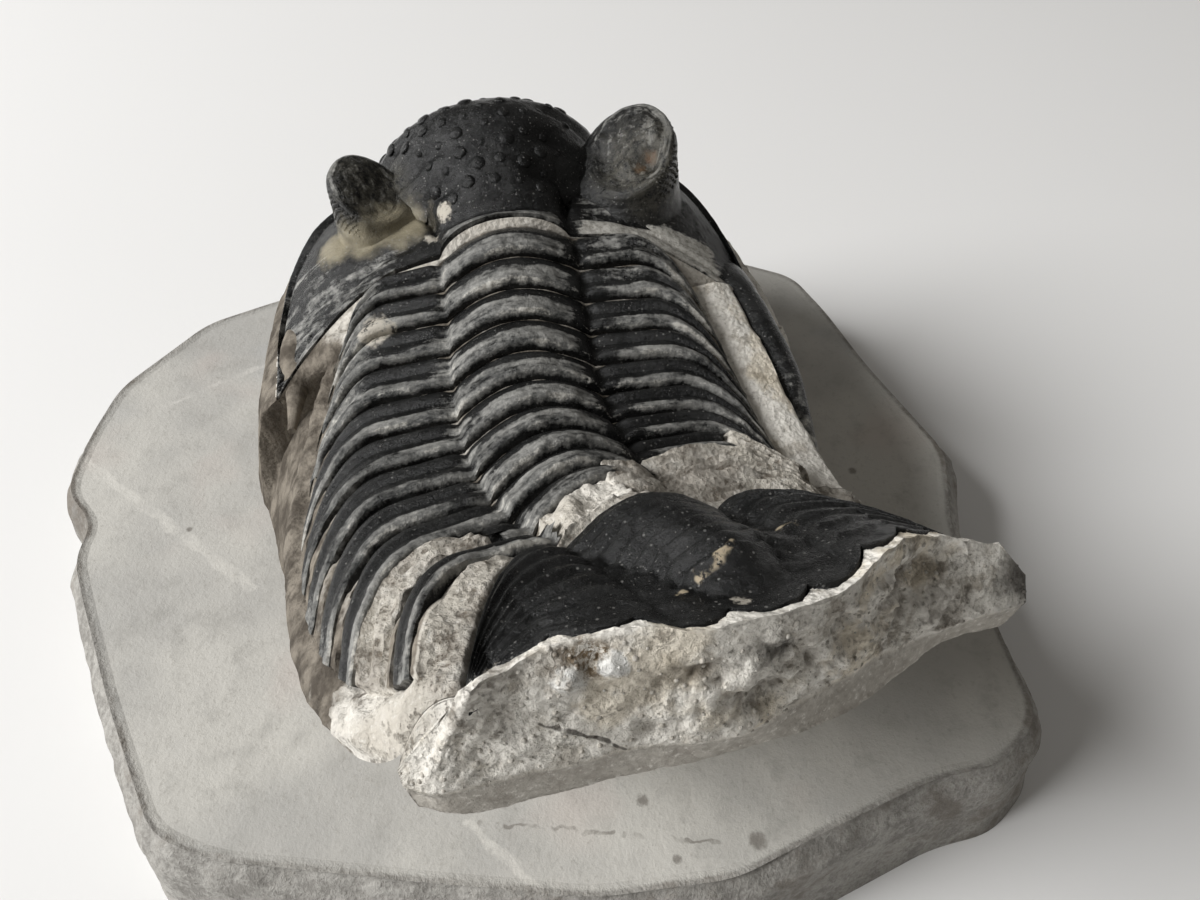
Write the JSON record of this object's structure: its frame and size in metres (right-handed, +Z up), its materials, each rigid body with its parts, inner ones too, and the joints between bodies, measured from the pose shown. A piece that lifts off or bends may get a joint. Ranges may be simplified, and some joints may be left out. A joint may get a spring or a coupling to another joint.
{
  "type": "trilobite fossil",
  "caption": "Black trilobite fossil with tall eyes and an upturned tail shield, left standing on a pedestal of its pale limestone above a flat slab.",
  "frame": {"origin": "centre of the bounding box, on the slab's underside", "axes": "+Z up from the slab, +Y towards the trilobite's head, +X to the right as seen from behind the tail"},
  "size_m": [0.0922, 0.0807, 0.0472],
  "materials": {
    "limestone": "rough",
    "fossil_shell": "satin"
  },
  "bodies": {
    "root": {"matrix": "limestone", "cephalon": "fossil_shell", "thoracic_segment_01": "fossil_shell", "thoracic_segment_02": "fossil_shell", "thoracic_segment_03": "fossil_shell", "thoracic_segment_04": "fossil_shell", "thoracic_segment_05": "fossil_shell", "thoracic_segment_06": "fossil_shell", "thoracic_segment_07": "fossil_shell", "thoracic_segment_08": "fossil_shell", "thoracic_segment_09": "fossil_shell", "thoracic_segment_10": "fossil_shell", "thoracic_segment_11": "fossil_shell", "pygidium": "fossil_shell"}
  },
  "joints": []
}
